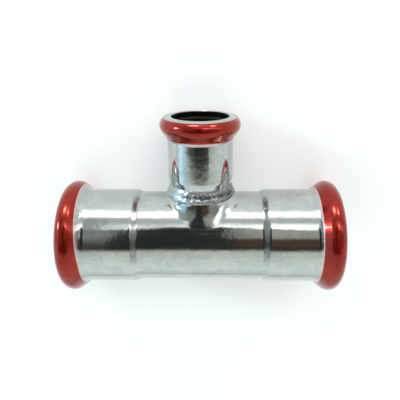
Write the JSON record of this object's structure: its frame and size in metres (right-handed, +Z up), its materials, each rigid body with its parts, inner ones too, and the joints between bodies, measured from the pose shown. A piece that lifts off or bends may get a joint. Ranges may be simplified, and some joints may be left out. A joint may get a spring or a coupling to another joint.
{
  "type": "reducing press tee",
  "caption": "Zinc-plated steel press tee: a straight run with a smaller welded branch, rubber seals in rolled beads and red press-indicator films.",
  "frame": {"origin": "on the floor, under the middle of the tee's box, as the tee lies on the films of its three beads", "axes": "+X along the run towards its right socket as seen in the picture, +Y the way the branch points along the floor, +Z up"},
  "size_m": [0.0914, 0.061, 0.0371],
  "materials": {
    "zinc_steel": "thin zinc plating, cloudy pale grey, half mirror",
    "weld": "rough zinc-plated weld bead",
    "black_rubber": "smooth black rubber",
    "red_film": "glossy red film"
  },
  "bodies": {
    "root": {"run_body": "zinc_steel", "branch_socket": "zinc_steel", "weld_seam": "weld", "seal_ring_left": "black_rubber", "seal_ring_right": "black_rubber", "seal_ring_branch": "black_rubber", "press_indicator_left": "red_film", "press_indicator_right": "red_film", "press_indicator_branch": "red_film"}
  },
  "joints": []
}
